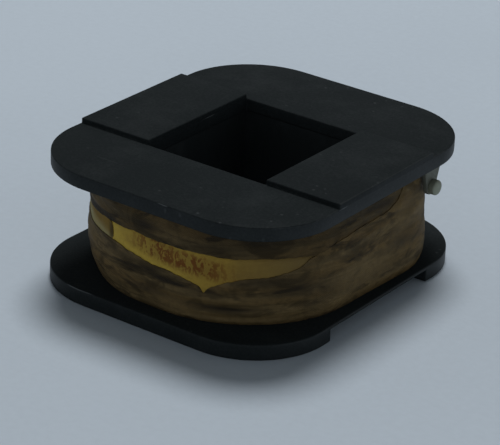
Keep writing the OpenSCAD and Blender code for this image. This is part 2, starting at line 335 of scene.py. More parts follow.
def tape_finish(name, settings, strength, tint):
    """Varnished cotton tape: a fine weave, long streaks, stains and darker pools of varnish, painted shade
    along the folds' creases and painted highlights where it stands proud; a strength below 1 darkens it all
    as painted shade.
    """
    made = Finish(name)
    # strength scales all the tape's colours; the upper turn's 0.66 is painted shade, for the shade under the
    # top flange.
    light = scaled(settings.light, strength)
    brown = scaled(settings.brown, strength)
    surface = made.surface()
    place = made.place()
    around = made.axis(surface, "X")
    up = made.axis(surface, "Y")
    streaks = made.cloud(made.stretched(surface, (0.06, 0.55, 1)), 1, 5, 0.62, 0.5)
    fine = made.cloud(made.stretched(surface, (0.25, 2.4, 1), (7, 3, 0)), 1, 4, 0.6)
    blotches = made.cloud(made.stretched(place, (110, 110, 260)), 1, 5, 0.62, 0.8)
    pools = made.cloud(made.stretched(place, (70, 70, 300), (5, 2, 1)), 1, 4, 0.6, 0.5)
    grain = made.cloud(place, 900, 3, 0.6)
    weave = around.wave(WARP_PITCH) * up.wave(WEFT_PITCH)
    bands = made.cloud(made.stretched(surface, (0.035, 0.42, 1), (2, 6, 0)), 1, 3, 0.5, 0.3)
    stain = made.mark("stain")
    proud_highlight = made.mark("proud_highlight").clamped()
    amber = scaled(settings.amber, strength)
    tone = made.blend(streaks.above(0.40, 0.60), brown, light)
    tone = made.blend(bands.above(0.42, 0.60) * 0.55, tone, amber)
    tone = made.blend(fine.above(0.52, 0.70) * 0.35, tone, light)
    tone = made.blend(blotches.above(0.46, 0.60) * 0.80, tone, scaled(brown, 0.45))
    # Painted highlight: pale where the tape stands proud.
    tone = made.blend(proud_highlight * 0.85, tone, scaled(light, tint))
    tone = made.blend(pools.above(0.54, 0.64) * (0.85 - proud_highlight * 0.6), tone, settings.dark)
    # The stain mark holds real stains and painted shade in the folds' creases; both darken the tape here.
    tone = made.blend((stain * (0.60 + streaks * 0.9)).clamped(), tone, settings.dark)
    tone = made.blend((0.62 - grain).clamped() * 0.9, tone, scaled(brown, 0.35))
    tone = made.blend((0.5 + weave * 0.5) * 0.12, tone, light)
    height = weave * 0.12 + streaks * 1.2 + fine * 0.7 + grain * 0.3 - pools.above(0.60, 0.72) * 0.5
    return made.shade(
        Base_Color=tone,
        Roughness=0.54 + grain * 0.24 - stain.clamped() * 0.14,
        Normal=made.bump(height, 0.00015),
        Specular_IOR_Level=0.10,
    )


def label_finish(settings):
    """Yellow band: clean at one end, varnish-soaked at the other, with faint smudges of ink."""
    made = Finish("yellow_band")
    surface = made.surface()
    place = made.place()
    around = made.axis(surface, "X")
    up = made.axis(surface, "Y")
    blotches = made.cloud(made.stretched(surface, (0.18, 0.38, 1)), 1, 4, 0.6, 0.4)
    grain = made.cloud(place, 1100, 3, 0.65)
    smears = made.cloud(made.stretched(surface, (0.85, 0.42, 1), (4, 8, 0)), 1, 3, 0.6, 0.8)
    flecks = made.cloud(made.stretched(surface, (1.7, 1.3, 1), (1, 5, 0)), 1, 2, 0.5)
    soaked = around.above(-3, 19) * 0.80 + blotches.above(0.45, 0.72) * 0.22
    drowned = around.above(14.2, 16.8) * 0.42 + around.above(15, 30) * 0.5
    centre_line = 14.2 - around * 0.12
    strip = (up - centre_line).hump(0, 2.6)
    inked = around.hump(5.5, 13) * strip * smears.above(0.42, 0.54) * flecks.above(0.34, 0.50)
    tone = made.blend(soaked.clamped(), settings.yellow, settings.stained)
    tone = made.blend(drowned.clamped(), tone, settings.drowned)
    handled = strip * around.hump(5, 15) * (0.45 + blotches * 0.5)
    tone = made.blend(handled.clamped(), tone, scaled(settings.stained, 0.78))
    tone = made.blend((inked * 0.95).clamped(), tone, settings.ink)
    tone = made.blend((0.62 - grain).clamped() * 0.7, tone, scaled(settings.stained, 0.5))
    threads = around.wave(LABEL_PITCH) * up.wave(LABEL_PITCH)
    return made.shade(
        Base_Color=tone,
        Roughness=0.52 + grain * 0.2,
        Normal=made.bump(threads * 0.12 + blotches * 0.9 + grain * 0.3, 0.0001),
        Specular_IOR_Level=0.16,
    )


def turned_end_finish(settings):
    """Pale turned end of the yellow band."""
    made = Finish("pale_turned_end")
    place = made.place()
    blotches = made.cloud(place, 330, 4, 0.6)
    grain = made.cloud(place, 1500, 3, 0.6)
    stain = made.mark("stain") * (0.7 + blotches * 0.5)
    tone = made.blend(blotches.above(0.36, 0.66) * 0.35, settings.pale, settings.stained)
    tone = made.blend(stain.clamped(), tone, scaled(settings.stained, 0.6))
    tone = made.blend((made.mark("shadow") * 0.8).clamped(), tone, scaled(settings.drowned, 0.3))
    return made.shade(
        Base_Color=tone,
        Roughness=0.55 + grain * 0.2,
        Normal=made.bump(blotches + grain * 0.6, 0.00016),
        Specular_IOR_Level=0.08,
    )


def metal_finish(name, tone, shade, roughness):
    """Dull tinned metal with pits and varnish in the low spots."""
    made = Finish(name)
    place = made.place()
    lumps = made.cloud(place, 620, 3, 0.5)
    pits = made.cloud(place, 2400, 4, 0.65)
    dirt = (lumps.above(0.5, 0.72) * 0.45 + pits.above(0.55, 0.75) * 0.3).clamped()
    return made.shade(
        Base_Color=made.blend(dirt, tone, shade),
        Metallic=(0.40 - dirt * 0.35).clamped(),
        Roughness=roughness + pits * 0.2,
        Normal=made.bump(lumps * 1.5 + pits, 0.00009),
    )


def wire_finish(name, tone, pitch):
    """Enamelled copper: turns side by side, one wire's width apart, with painted shade in the grooves between
    them.
    """
    made = Finish(name)
    place = made.place()
    height = made.axis(place, "Z")
    turns = height.wave(pitch)
    worn = made.cloud(place, 240, 4, 0.55)
    groove_shade_tone = scaled(tone, 0.35)
    return made.shade(
        # Darker where the turns' bump is low: painted shade in the grooves.
        Base_Color=made.blend((turns * 0.35 + worn * 0.5 + 0.1).clamped(), groove_shade_tone, tone),
        Metallic=0.85,
        Roughness=0.28 + worn * 0.2,
        Normal=made.bump(turns + worn * 0.3, pitch * 0.3),
    )


def paper_finish(name, tone, fibres):
    """Paper or board soaked in varnish."""
    made = Finish(name)
    place = made.place()
    strands = made.cloud(made.stretched(place, (fibres, fibres, fibres * 0.35)), 1, 5, 0.65)
    soaked = made.cloud(place, 90, 3, 0.5)
    worn = scaled(tone, 0.5)
    return made.shade(
        Base_Color=made.blend((soaked * 0.6 + strands * 0.4).clamped(), worn, tone),
        Roughness=0.55 + strands * 0.25,
        Normal=made.bump(strands, 0.00008),
    )


def floor_finish(tone):
    """Pale board with a faint mottle."""
    made = Finish("pale_floor")
    place = made.place()
    mottle = made.cloud(place, 9, 4, 0.5)
    grain = made.cloud(place, 700, 2, 0.5)
    amount = (mottle * 0.6 + grain * 0.4).above(0.3, 0.7)
    return made.shade(
        Base_Color=made.blend(amount, scaled(tone, 0.97), scaled(tone, 1.03)),
        Roughness=0.6 + grain * 0.1,
        Normal=made.bump(grain, 0.00004),
        Specular_IOR_Level=0.1,
    )


# Modelling

def add_shape(name, kind, **sizes):
    """Adds a plain shape, which is then the only one selected."""
    if bpy.context.object and bpy.context.object.mode != "OBJECT":
        bpy.ops.object.mode_set(mode="OBJECT")
    for other in bpy.context.selected_objects:
        other.select_set(False)
    getattr(bpy.ops.mesh, f"primitive_{kind}_add")(**sizes)
    shape = bpy.context.object
    shape.name = shape.data.name = name
    return shape


def edit_all():
    """Enters edit mode with every vertex selected."""
    bpy.ops.object.mode_set(mode="EDIT")
    bpy.ops.mesh.select_mode(type="VERT")
    bpy.ops.mesh.select_all(action="SELECT")


def extrude(*move):
    bpy.ops.mesh.extrude_region_move(TRANSFORM_OT_translate={"value": move})


def direction(degrees):
    return Vector((math.cos(math.radians(degrees)), math.sin(math.radians(degrees))))


def smoothstep(value):
    value = max(0.0, min(1.0, value))
    return value * value * (3 - 2 * value)


def pick(kind, test):
    """In edit mode, selects only the vertices, edges or faces that pass a test."""
    mesh = bpy.context.object.data
    bpy.ops.mesh.select_mode(type=kind)
    bpy.ops.mesh.select_all(action="DESELECT")
    shape = bmesh.from_edit_mesh(mesh)
    parts = {"VERT": shape.verts, "EDGE": shape.edges, "FACE": shape.faces}[kind]
    for part in parts:
        if test(part):
            part.select_set(True)
    bmesh.update_edit_mesh(mesh)


def middle(part):
    if isinstance(part, bmesh.types.BMEdge):
        return (part.verts[0].co + part.verts[1].co) / 2
    return part.calc_center_median()


def near(a, b):
    return abs(a - b) < SNAP


def add_block(name, low, high):
    """A block between two corners, left in edit mode."""
    block = add_shape(name, "cube", size=1, location=(low + high) / 2, scale=high - low)
    bpy.ops.object.transform_apply(location=True, rotation=True, scale=True)
    bpy.ops.object.mode_set(mode="EDIT")
    return block


def is_upright(edge):
    a, b = edge.verts[0].co, edge.verts[1].co
    return near(a.x, b.x) and near(a.y, b.y)


def add_plate(name, low, high, radius, **bevel):
    """A block whose upright edges are rounded, left in edit mode."""
    plate = add_block(name, low, high)
    pick("EDGE", is_upright)
    bpy.ops.mesh.bevel(offset=radius, affect="EDGES", **bevel)
    return plate


def cut_at(axis, places):
    """Cuts the whole mesh in planes across X or Y."""
    for place in places:
        bpy.ops.mesh.select_all(action="SELECT")
        point = [0, 0, 0]
        normal = [0, 0, 0]
        point[axis] = place
        normal[axis] = 1
        bpy.ops.mesh.bisect(plane_co=point, plane_no=normal)


def open_window(half_x, half_y):
    """Cuts the window out of a plate, and joins its two rims with walls."""
    cut_at(0, [-half_x, half_x])
    cut_at(1, [-half_y, half_y])

    def inside(co):
        return abs(co.x) < half_x + SNAP and abs(co.y) < half_y + SNAP

    pick("FACE", lambda face: abs(face.normal.z) > 0.5 and all(inside(v.co) for v in face.verts))
    bpy.ops.mesh.delete(type="ONLY_FACE")
    pick("EDGE", lambda edge: edge.is_boundary)
    bpy.ops.mesh.bridge_edge_loops()


def round_edges(piece, width, segments, angle):
    """Rounds the edges that are sharper than an angle."""
    bpy.ops.object.modifier_add(type="BEVEL")
    bevel = piece.modifiers[-1]
    bevel.width = width
    bevel.segments = segments
    bevel.limit_method = "ANGLE"
    bevel.angle_limit = math.radians(angle)
    bpy.ops.object.modifier_apply(modifier=bevel.name)


def finish_mesh(piece, width, segments=3, angle=30):
    """Leaves edit mode, rounds the sharp edges and smooths the rest."""
    if piece.mode == "EDIT":
        bpy.ops.mesh.select_all(action="SELECT")
        bpy.ops.mesh.remove_doubles(threshold=MERGE)
        bpy.ops.mesh.normals_make_consistent(inside=False)
        bpy.ops.object.mode_set(mode="OBJECT")
    round_edges(piece, width, segments, angle)
    bpy.ops.object.shade_smooth_by_angle(angle=math.radians(35))


def hand_over(piece, material, slot, *nodes):
    """Gives a piece its finish, its body and the nodes that it stands for."""
    piece.data.materials.clear()
    piece.data.materials.append(material)
    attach(piece, BODY)
    if nodes:
        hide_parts(*nodes)


def refinish(word, material):
    """Gives the CAD nodes whose names hold a word a finish of their own."""
    for name, node in NODES.items():
        if word in name:
            for place in node.material_slots:
                place.material = material


# The wrap's plan and surface

class Plan:
    """The wrap from above. Distance starts in the middle of the -Y side and grows towards +X."""

    def __init__(self, half_x, half_y, front, right, back, left):
        corners = [
            (half_x - front, front - half_y, front, -90),
            (half_x - right, half_y - right, right, 0),
            (back - half_x, half_y - back, back, 90),
            (left - half_x, left - half_y, left, 180),
        ]
        self.runs = []
        place = Vector((0, -half_y))
        for x, y, radius, start in corners:
            centre = Vector((x, y))
            first = centre + radius * direction(start)
            self.add_side(place, first, direction(start))
            self.runs.append((radius * math.pi / 2, centre, radius, start))
            place = centre + radius * direction(start + 90)
        self.add_side(place, Vector((0, -half_y)), direction(-90))
        self.length = sum(run[0] for run in self.runs)

    def add_side(self, first, last, outwards):
        self.runs.append(((last - first).length, first, last, outwards))

    def at(self, distance):
        """The point at a distance, and the way that it faces."""
        distance %= self.length
        for run in self.runs[:-1]:
            if distance <= run[0]:
                break
            distance -= run[0]
        else:
            run = self.runs[-1]
        if isinstance(run[2], Vector):
            part = distance / run[0] if run[0] else 0
            return run[1].lerp(run[2], part), run[3]
        outwards = direction(run[3] + math.degrees(distance / run[2]))
        return run[1] + run[2] * outwards, outwards


def make_plan(settings):
    return Plan(
        WRAP_HIGH.x, WRAP_HIGH.y,
        settings.radius_front, settings.radius_right, settings.radius_back, settings.radius_left,
    )


def line_through(points, distance, period):
    """Height at a distance, on straight lines through (distance, height) points that repeat."""
    distance = points[0][0] + (distance - points[0][0]) % period
    ring = points + [(points[0][0] + period, points[0][1])]
    for (a, low), (b, high) in zip(ring, ring[1:]):
        if distance <= b:
            return low + (high - low) * (distance - a) / (b - a)
    return points[0][1]


def curve_through(points, distance, period):
    """The same lines with their corners eased."""
    near_by = [line_through(points, distance + step, period) for step in (-0.2, 0.0, 0.2)]
    return sum(near_by) / len(near_by)


# Heights in millimetres above the underside, at distances in millimetres round the wrap
LOWER_EDGE = [
    (-40, 14.5), (-30, 13.6), (-22, 12.4), (-17, 12.2), (-10, 12.5), (-4, 11.8), (0, 11.1), (4.4, 10.8),
    (8.3, 9.9), (9.5, 9.6), (10, 9.2), (10.5, 7.9), (11.1, 9.1), (11.9, 9.6), (12.7, 10), (13.9, 10.7),
    (17, 11.5), (22, 12), (25.4, 12.7), (27.2, 13.2), (29, 14.4), (31, 15.1), (35, 16.2), (41, 16.8),
    (48.5, 16.9), (51, 17.4), (53, 18.1),
    (54, 19.3), (54.8, 20.6), (55.6, 22.3), (84, 22.3), (88, 20), (95, 17), (106, 14.5), (120, 15.2),
]
UPPER_EDGE = [
    (-40, 12.8), (-30, 13.2), (-22, 14.8), (-18, 15.1), (-13, 15.55), (-9, 15.75), (-4, 16), (0, 15.6),
    (10, 15.6), (13, 15.3), (25, 15.3), (30, 14.9), (35, 14.2), (48, 14.2), (60, 14), (90, 13.5),
    (104, 12.8), (120, 13),
]
# The stretch where neither tape covers the band, and how far it eases out at each end
GAP_FROM = -24
GAP_TO = 32
GAP_EASE = 3
# How deep the band lies below the wrap's surface, and how far it comes out in the gap
BAND_DEPTH = 0.80
BAND_RISE = 0.34
# The band's turned end
END_CENTRE = -16.4
END_HALF_LENGTH = 7.0
END_HEIGHT = 13.95
END_HALF_HEIGHT = 1.9
END_DEPTH = 0.43

# Dark patches on the tape: varnish stains, and painted shade in the folds' creases where they lie along
# FOLDS. Columns: distance, height, half length, half height, strength
STAINS_AND_CREASE_SHADE = [
    (-1.2, 17.9, 2.4, 0.9, 0.9),
    (-0.5, 10, 1.8, 0.40, 1),
    (2.8, 9.2, 2.6, 0.5, 1.2),
    (6.2, 8.9, 2.6, 0.35, 0.9),
    (-8, 11, 4, 0.5, 0.35),
    (0.3, 6.3, 4, 0.8, 0.55),
    (54, 10, 3, 1.4, 0.45),
    (14.5, 5.9, 6, 0.55, 1),
    (20.5, 11, 4, 0.8, 0.5),
    (27, 9.6, 6, 1.3, 0.55),
    (33, 8, 4, 1.2, 0.35),
    (12, 17, 6, 0.6, 0.35),
    (20, 18.6, 7, 1.1, 0.5),
    (48, 18.8, 6, 0.9, 0.45),
    (-14, 19.8, 5, 1.2, 0.3),
    (60, 9.2, 5, 0.8, 0.35),
    (70, 12, 8, 1.6, 0.4),
    (96, 9, 9, 1.2, 0.5),
    (112, 17, 7, 1.3, 0.5),
    (-38, 8, 8, 1.2, 0.5),
    (-60, 16, 8, 1.4, 0.4),
    (-72, 7, 9, 1.2, 0.4),
]

# Painted highlights: pale patches where the tape stands proud, beside its folds: the same five values
PROUD_HIGHLIGHTS = [
    (4.5, 17.4, 3.6, 1.3, 0.75),
    (-15, 18.3, 5, 1.4, 0.25),
    (16, 3.9, 15, 0.45, 1.1),
    (33, 5.2, 8, 0.9, 1),
    (4, 4.6, 6, 0.5, 0.5),
    (3, 5.6, 6, 0.9, 0.45),
    (14, 7.9, 8, 0.8, 0.55),
    (33, 13.6, 6, 1, 0.35),
    (40, 8, 9, 2.4, 0.55),
    (47, 8, 6, 3.2, 0.45),
    (54, 14, 3, 4.5, 0.45),
    (62, 14.5, 7, 4, 0.55),
    (-12, 9, 5, 1.8, 0.3),
    (-3, 12, 4, 0.9, 0.5),
    (84, 15, 8, 3, 0.4),
    (-50, 9, 10, 2.5, 0.4),
    (-66, 12, 6, 2, 0.3),
]

# Folds: the same values, with the depth in millimetres as the strength, and a slope
FOLDS = [
    (14, 6, 9, 0.7, -0.30, -0.03),
    (6, 8.9, 8, 0.6, -0.25, -0.10),
    (-6, 7.4, 10, 0.8, -0.18, -0.06),
    (28, 9.2, 10, 1, -0.22, 0.05),
    (44, 13.8, 9, 0.8, -0.16, 0.10),
    (50, 8.2, 10, 0.9, -0.14, 0.04),
    (60, 15, 8, 1.2, 0.22, 0.30),
    (12, 18.6, 14, 0.8, -0.16, -0.02),
    (-16, 18.4, 8, 1, -0.2, -0.12),
    (40, 19.2, 12, 0.9, -0.18, 0.05),
    (74, 10, 12, 1, -0.2, 0.08),
    (98, 12.5, 12, 1, -0.22, -0.06),
    (118, 7, 10, 0.9, -0.2, 0.05),
    (-40, 17, 9, 1, -0.2, 0.08),
]


def wrapped(difference, period):
    return (difference + period / 2) % period - period / 2


def patch_at(patches, distance, height, period):
    """How strongly a list of soft oval patches, level or sloping, covers a point."""
    total = 0.0
    for place, level, half_length, half_height, strength, *slope in patches:
        along = wrapped(distance - place, period)
        across = along / half_length
        up = (height - level - sum(slope) * along) / half_height
        total += strength * math.exp(-across * across - up * up)
    return total


def relief_at(distance, height, point, period):
    """How far the tape stands out from the plan, in millimetres."""
    low, high = WINDING_LOW / MM, WINDING_HIGH / MM
    part = 2 * (height - low) / (high - low) - 1
    barrel = -0.45 * abs(part) ** 5
    tuck = -0.95 * math.exp(-(wrapped(distance + 18, period) / 9) ** 2) * smoothstep((low + 6 - height) / 6)
    swell = 0.60 * math.exp(-(wrapped(distance - 61, period) / 10) ** 2) * smoothstep((low + 11 - height) / 8)
    x, y = point.x / MM, point.y / MM
    waves = 0.20 * noise.noise(Vector((x * 0.07, y * 0.07, height * 0.30 + 1)))
    pleats = 0.16 * noise.noise(Vector((x * 0.055, y * 0.055, height * 0.85 + 7)))
    crumple = 0.05 * noise.noise(Vector((x * 0.35, y * 0.35, height * 1.3 - 1)))
    return barrel + tuck + swell + waves + pleats + crumple + patch_at(FOLDS, distance, height, period)


def lay_on(plan, distance, height, out):
    """The point in metres that stands out from the wrap's surface by a number of millimetres."""
    point, outwards = plan.at(distance * MM)
    spot = point + outwards * (relief_at(distance, height, point, plan.length / MM) + out) * MM
    return Vector((spot.x, spot.y, height * MM))


def distance_of(turn, period):
    """Distance at a part of a turn from the back. The steps are closest in front, at the gap."""
    turn -= 0.5
    return period * (turn - 0.085 * math.sin(2 * math.pi * turn))


def add_wall(name, plan, around, up, level_at):
    """A closed band round the winding: a ring extruded upwards, then laid on the surface.

    level_at(distance, part) gives the point, in metres, at a part of the band's height."""
    wall = add_shape(name, "circle", vertices=around, radius=1, fill_type="NOTHING")
    edit_all()
    for _ in range(up):
        extrude(0, 0, 1)
    bpy.ops.object.mode_set(mode="OBJECT")
    mesh = wall.data
    place_of = []
    period = plan.length / MM
    for vertex in mesh.vertices:
        turn = math.atan2(vertex.co.y, vertex.co.x) / (2 * math.pi) % 1
        place_of.append((round(turn * around) % around, round(vertex.co.z)))
    for vertex, (column, row) in zip(mesh.vertices, place_of):
        vertex.co = level_at(distance_of(column / around, period), row / up)
    grid = mesh.uv_layers.new(name="around")
    for face in mesh.polygons:
        columns = [place_of[mesh.loops[loop].vertex_index][0] for loop in face.loop_indices]
        seam = max(columns) - min(columns) > 1
        for loop, column in zip(face.loop_indices, columns):
            turn = around if seam and column == 0 else column
            height = mesh.vertices[mesh.loops[loop].vertex_index].co.z
            grid.data[loop].uv = (distance_of(turn / around, period), height / MM)
    return wall


def face_outwards(piece):
    """Turns the faces of an open band so that they look away from its axis."""
    face = piece.data.polygons[0]
    if face.normal.xy.dot(face.center.xy) < 0:
        edit_all()
        bpy.ops.mesh.flip_normals()
        bpy.ops.object.mode_set(mode="OBJECT")


def add_marks(piece, marks):
    """Stores soft patches on a piece, as values that its finish reads."""
    for name, values in marks.items():
        layer = piece.data.attributes.new(name, "FLOAT", "POINT")
        layer.data.foreach_set("value", values)


def thicken(piece, thickness):
    """Gives an open sheet its thickness inwards, and rounds its rim."""
    bpy.ops.object.modifier_add(type="SOLIDIFY")
    solid = piece.modifiers[-1]
    solid.thickness = thickness
    solid.offset = -1
    bpy.ops.object.modifier_apply(modifier=solid.name)
    round_edges(piece, thickness / 4, 2, 60)
    bpy.ops.object.shade_smooth_by_angle(angle=math.radians(50))


def in_gap(distance, period):
    """1 where the band shows between the tapes, easing to 0 beyond the gap's ends."""
    centre = (GAP_FROM + GAP_TO) / 2
    half = (GAP_TO - GAP_FROM) / 2
    return smoothstep((half + GAP_EASE - abs(wrapped(distance - centre, period))) / GAP_EASE)


def build_layer(name, plan, low_at, high_at, depth_at, steps, thickness):
    """One layer of the wrap between two edges, at a depth below the plan, all in millimetres.

    It has one number of steps round the wrap and one up it."""
    period = plan.length / MM

    def level(distance, part):
        low, high = low_at(distance), high_at(distance)
        height = low + (high - low) * part
        return lay_on(plan, distance, height, -depth_at(distance, height, low, high))

    layer = add_wall(name, plan, *steps, level)
    face_outwards(layer)
    grid = layer.data.uv_layers["around"].data
    places = [None] * len(layer.data.vertices)
    for loop, corner in zip(layer.data.loops, grid):
        places[loop.vertex_index] = corner.uv.copy()
    add_marks(layer, {
        # The stain mark: varnish stains and painted shade along the folds' creases.
        "stain": [patch_at(STAINS_AND_CREASE_SHADE, uv.x, uv.y, period) for uv in places],
        # Pale marks: painted highlight where the tape stands proud.
        "proud_highlight": [patch_at(PROUD_HIGHLIGHTS, uv.x, uv.y, period) for uv in places],
    })
    thicken(layer, thickness * MM)
    return layer


# Operators

class COIL_OT_top_flange(Operator):
    """Builds the top flange: a rounded plate with the window, the raised band and a moulding mark."""
    bl_idname = "coil.top_flange"
    bl_label = "Top flange"

    def execute(self, context):
        settings = context.scene.coil_bobbin
        half_x, half_y = settings.window_width / 2, settings.window_length / 2
        strip = TOP_HIGH.z - settings.band_step
        high = Vector((TOP_HIGH.x, TOP_HIGH.y, strip))
        flange = add_plate("top_flange_moulding", TOP_LOW, high, settings.corner_radius, segments=24)
        self.add_gate_mark()
        open_window(half_x, half_y)
        pick("FACE", lambda face: near(middle(face).z, strip) and abs(middle(face).y) < half_y)
        extrude(0, 0, settings.band_step)
        finish_mesh(flange, settings.edge_round)
        # 0.06 lightens the X-end rims as painted light; the second 0.06 adds coat there.
        finish = bobbin_finish("top_moulding", settings, TOP_LOW.z, strip, 0.06, 0.06)
        hand_over(flange, finish, "bobbin", "top_flange")
        return {"FINISHED"}

    def add_gate_mark(self):
        """Leaves the small stub of the moulding's gate on the back corner's rim."""
        gate = Vector((-0.53, 0.85, 0)).normalized()
        stub = 0.45 * MM
        pick("FACE", lambda face: face.normal.dot(gate) > 0.9995)
        extrude(*(gate * stub))
        bpy.ops.transform.resize(value=(0.7, 0.7, 0.6))


class COIL_OT_bottom_flange(Operator):
    """Builds the bottom flange: a thin plate with two strips that leave the yoke's channel between them."""
    bl_idname = "coil.bottom_flange"
    bl_label = "Bottom flange"

    def execute(self, context):
        settings = context.scene.coil_bobbin
        half_x, half_y = settings.window_width / 2, settings.window_length / 2
        half_channel = settings.channel_length / 2
        low = Vector((BOTTOM_LOW.x, BOTTOM_LOW.y, BOTTOM_LOW.z + settings.channel_depth))
        flange = add_plate("bottom_flange_moulding", low, BOTTOM_HIGH, settings.corner_radius, segments=24)
        cut_at(1, [-half_channel, half_channel])
        open_window(half_x, half_y)
        pick("FACE", lambda face: near(middle(face).z, low.z) and abs(middle(face).y) > half_channel)
        extrude(0, 0, -settings.channel_depth)
        finish_mesh(flange, settings.edge_round)
        # 0.02 lightens the X-end rims as painted light; 0.16 adds coat there.
        finish = bobbin_finish("bottom_moulding", settings, BOTTOM_LOW.z, BOTTOM_HIGH.z, 0.02, 0.16)
        hand_over(flange, finish, "bobbin", "bottom_flange")
        return {"FINISHED"}


class COIL_OT_inner_parts(Operator):
    """Finishes the tube, the windings, the papers, the washers and the leads, which keep their shape."""
    bl_idname = "coil.inner_parts"
    bl_label = "Inner parts"

    def execute(self, context):
        kraft = paper_finish("kraft_paper", KRAFT, 700)
        finishes = {
            "core_tube": lining_finish(context.scene.coil_bobbin),
            "primary_layer": wire_finish("primary_copper", (0.62, 0.24, 0.09), 0.8 * MM),
            "secondary_winding": wire_finish("secondary_copper", (0.46, 0.15, 0.055), 0.12 * MM),
            "primary_paper": paper_finish("interlayer_paper", (0.55, 0.42, 0.22), 900),
            "secondary_paper": paper_finish("thin_paper", (0.58, 0.46, 0.25), 1300),
            "core_paper": kraft,
            "barrier_paper": kraft,
            "upper_washer": paper_finish("fish_paper", FISH_PAPER, 500),
            "_lead": wire_finish("lead_copper", (0.60, 0.26, 0.11), 0.5 * MM),
            "_sleeve": paper_finish("cotton_sleeving", (0.36, 0.27, 0.09), 1800),
            "_solder": metal_finish("solder_bead", (0.60, 0.60, 0.55), (0.22, 0.2, 0.15), 0.3),
        }
        for word, material in finishes.items():
            refinish(word, material)
        return {"FINISHED"}


class COIL_OT_under_layers(Operator):
    """Builds the outer paper, which follows the wrap, and the lower washer."""
    bl_idname = "coil.under_layers"
    bl_label = "Outer paper and washer"

    def execute(self, context):
        plan = make_plan(context.scene.coil_tape)
        low, high = (corner.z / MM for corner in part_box("outer_paper"))
        depth = 1.1
        paper = build_layer(
            "outer_paper_wrap", plan, lambda d: low, lambda d: high, lambda *place: depth,
            steps=(240, 20), thickness=0.3,
        )
        hand_over(paper, paper_finish("outer_kraft_paper", KRAFT, 700), "layer_paper", "outer_paper")
        self.add_washer(context.scene.coil_tape.radius_front)
        return {"FINISHED"}

    def add_washer(self, radius):
        """The lower washer, set in a little so that it stays inside the wrap's pulled-in foot."""
        washer_low, washer_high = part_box("lower_washer")
        tube_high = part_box("core_tube")[1]
        set_in = Vector((0.75, 0.75, 0)) * MM
        washer = add_plate(
            "lower_washer_board", washer_low + set_in, washer_high - set_in, radius,
            segments=20, clamp_overlap=True,
        )
        open_window(tube_high.x, tube_high.y)
        finish_mesh(washer, 0.08 * MM, 2)
        hand_over(washer, paper_finish("lower_fish_paper", FISH_PAPER, 500), "washer_board", "lower_washer")


class COIL_OT_label_band(Operator):
    """Builds the yellow band under the tape and its pale turned end."""
    bl_idname = "coil.label_band"
    bl_label = "Yellow band"

    def execute(self, context):
        settings = context.scene.coil_label
        plan = make_plan(context.scene.coil_tape)
        period = plan.length / MM
        low_edge, high_edge = 6.5, 20.5

        def depth(distance, height, low, high):
            edge = curve_through(UPPER_EDGE, distance, period)
            shown = in_gap(distance, period) * (1 - smoothstep((height - edge + 0.5) / 0.7))
            return BAND_DEPTH - BAND_RISE * shown

        band = build_layer(
            "yellow_band", plan, lambda d: low_edge, lambda d: high_edge, depth,
            steps=(400, 48), thickness=0.14,
        )
        hand_over(band, label_finish(settings), "label_band", "label_band")
        self.add_turned_end(settings, plan)
        return {"FINISHED"}

    def add_turned_end(self, settings, plan):
        """A short lobe of the band, folded back on itself at the gap's left end."""
        lobe = add_shape("turned_end", "grid", x_subdivisions=40, y_subdivisions=24, size=2)
        stains, shadows = [], []
        for vertex in lobe.data.vertices:
            x, y = vertex.co.x, vertex.co.y
            distance = END_CENTRE + END_HALF_LENGTH * x
            rounded = math.sqrt(max(0.0, 1 - max(0.0, x) ** 8))
            height = END_HEIGHT - 0.1 * x + END_HALF_HEIGHT * y * (0.45 + 0.55 * rounded)
            lift = 0.05 * smoothstep((x - 0.2) / 0.8) + 0.015 * math.cos(3 * y)
            vertex.co = lay_on(plan, distance, height, lift - END_DEPTH)
            stains.append(smoothstep(0.45 + 1.2 * y + 0.6 * x))
            shadows.append(smoothstep((x - 0.76) / 0.16) * smoothstep(1.7 - abs(y) * 1.2))
        add_marks(lobe, {"stain": stains, "shadow": shadows})
        edit_all()
        bpy.ops.mesh.remove_doubles(threshold=MERGE)
        bpy.ops.object.mode_set(mode="OBJECT")
        face_outwards(lobe)
        thicken(lobe, 0.12 * MM)
        hand_over(lobe, turned_end_finish(settings), "label_band")


class COIL_OT_tapes(Operator):
    """Builds the two turns of varnished tape: the lower one laps over the upper one."""
    bl_idname = "coil.tapes"
    bl_label = "Varnished tape"

    def execute(self, context):
        settings = context.scene.coil_tape
        plan = make_plan(settings)
        period = plan.length / MM
        low, high = WINDING_LOW / MM, WINDING_HIGH / MM
        thickness = settings.thickness / MM

        def ragged(distance, seed, size):
            point = plan.at(distance * MM)[0] / MM
            rough = noise.noise(Vector((point.x * 1.1, point.y * 1.1, seed)))
            slow = noise.noise(Vector((point.x * 0.25, point.y * 0.25, seed + 5)))
            return size * (rough + slow)

        def lower_top(distance):
            return min(high, curve_through(LOWER_EDGE, distance, period) + ragged(distance, 3, 0.16))

        def upper_bottom(distance):
            return curve_through(UPPER_EDGE, distance, period) + ragged(distance, 11, 0.14)

        def lower_depth(distance, height, base, edge):
            return 0.31 * math.exp(-((edge - height) / 1.1) ** 2)

        def upper_depth(distance, height, edge, top):
            pressed = math.exp(-((height - edge) / 0.9) ** 2)
            return 0.44 - in_gap(distance, period) * (0.22 - 0.14 * pressed)

        lower = build_layer(
            "lower_tape_wrap", plan, lambda d: low, lower_top, lower_depth,
            steps=(520, 56), thickness=thickness,
        )
        finish = tape_finish("varnished_tape_lower", settings, 1.0, 1.25)
        hand_over(lower, finish, "varnished_tape", "lower_tape")
        upper = build_layer(
            "upper_tape_wrap", plan, upper_bottom, lambda d: high, upper_depth,
            steps=(520, 40), thickness=thickness,
        )
        # The upper turn's colours are scaled by 0.66: painted shade under the top flange.
        finish = tape_finish("varnished_tape_upper_painted_shade", settings, 0.66, 1.35)
        hand_over(upper, finish, "varnished_tape", "upper_tape")
        return {"FINISHED"}


